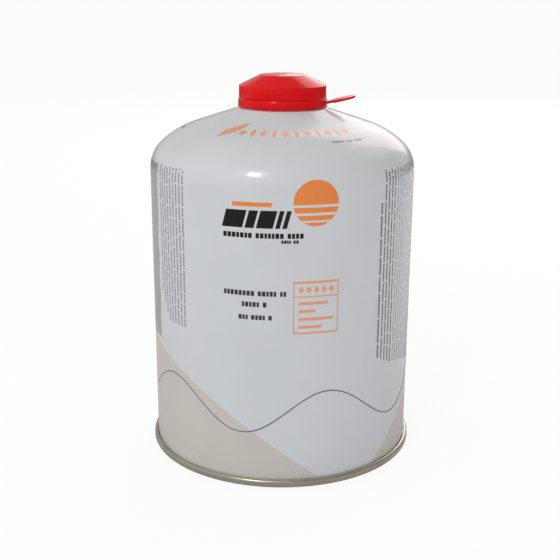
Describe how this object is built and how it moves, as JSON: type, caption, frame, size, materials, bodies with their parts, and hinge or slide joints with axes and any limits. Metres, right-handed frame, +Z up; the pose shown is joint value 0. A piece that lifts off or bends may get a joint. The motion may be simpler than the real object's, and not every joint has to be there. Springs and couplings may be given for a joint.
{
  "type": "fuel canister",
  "caption": "Round screw-valve gas can with a domed shoulder, a double-seamed base and a sealed cap with a pull tab.",
  "frame": {"origin": "centre of the foot of the base seam, on the surface that the can stands on", "axes": "+Z up along the can's axis, +X towards the cap's pull tab, -Y to the printed front"},
  "size_m": [0.1114, 0.1114, 0.1557],
  "materials": {
    "can_paint": "glossy pale grey printed steel",
    "tinplate": "bare bright tinplate, slightly golden",
    "valve_tinplate": "bare bright tinplate",
    "seal_rubber": "matte black rubber",
    "cap_plastic": "glossy red moulded plastic"
  },
  "bodies": {
    "root": {"can_body": "can_paint", "base_end": "tinplate", "screw_valve": "valve_tinplate", "valve_seal": "seal_rubber", "cap": "cap_plastic"}
  },
  "joints": []
}
